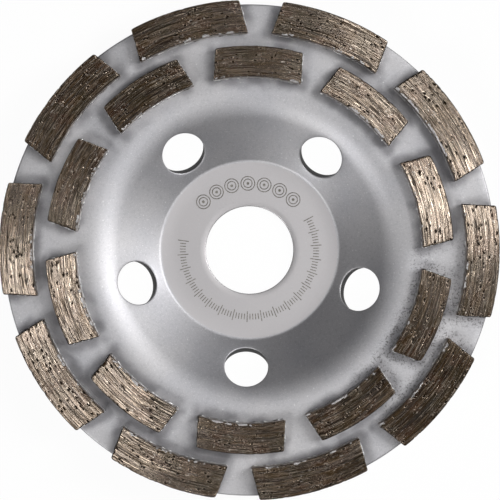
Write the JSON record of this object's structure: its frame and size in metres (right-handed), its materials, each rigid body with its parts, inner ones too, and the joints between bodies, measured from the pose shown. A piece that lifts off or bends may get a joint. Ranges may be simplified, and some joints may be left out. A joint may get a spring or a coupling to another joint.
{
  "type": "diamond cup wheel",
  "caption": "Double-row diamond cup grinding wheel: dished pressed-steel body with a flange bore and vent holes, and staggered abrasive segments on its rim.",
  "frame": {"origin": "centre of the bore at the hub's flat back face, which rests on the bench", "axes": "+Z along the spindle axis from the hub's back towards the working face of the segments; angles about +Z from +X"},
  "size_m": [0.125, 0.1248, 0.0161],
  "materials": {
    "silver_paint": "satin silver paint with fine flake on pressed steel",
    "sintered_segment": "sintered metal matrix, brown, with ground streaks, pits and bright specks"
  },
  "bodies": {
    "root": {"cup_body": "silver_paint", "outer_segment_01": "sintered_segment", "outer_segment_02": "sintered_segment", "outer_segment_03": "sintered_segment", "outer_segment_04": "sintered_segment", "outer_segment_05": "sintered_segment", "outer_segment_06": "sintered_segment", "outer_segment_07": "sintered_segment", "outer_segment_08": "sintered_segment", "outer_segment_09": "sintered_segment", "outer_segment_10": "sintered_segment", "inner_segment_01": "sintered_segment", "inner_segment_02": "sintered_segment", "inner_segment_03": "sintered_segment", "inner_segment_04": "sintered_segment", "inner_segment_05": "sintered_segment", "inner_segment_06": "sintered_segment", "inner_segment_07": "sintered_segment", "inner_segment_08": "sintered_segment", "inner_segment_09": "sintered_segment", "inner_segment_10": "sintered_segment"}
  },
  "joints": []
}
